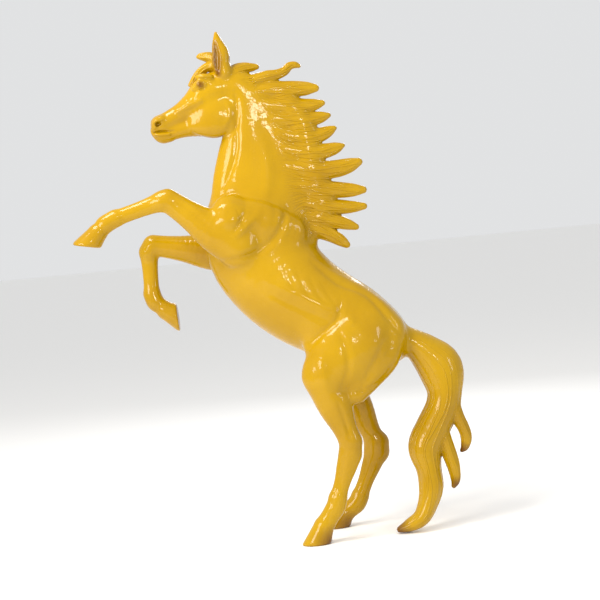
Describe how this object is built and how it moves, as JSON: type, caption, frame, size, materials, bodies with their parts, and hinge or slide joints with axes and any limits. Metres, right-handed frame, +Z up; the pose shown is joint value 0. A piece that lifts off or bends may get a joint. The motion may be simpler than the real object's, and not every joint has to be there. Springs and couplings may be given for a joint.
{
  "type": "resin horse sculpture",
  "caption": "Life-like rearing horse cast in glass-fibre resin, golden yellow gloss, standing on its hind hooves with the tail's tip just off the floor.",
  "frame": {"origin": "bottom centre of the box, on the floor", "axes": "+Z up, -X the way the horse faces, -Y its left side"},
  "size_m": [1.6876, 0.4588, 2.3008],
  "materials": {
    "enamel": "gloss"
  },
  "bodies": {
    "root": {"horse": "enamel"}
  },
  "joints": []
}
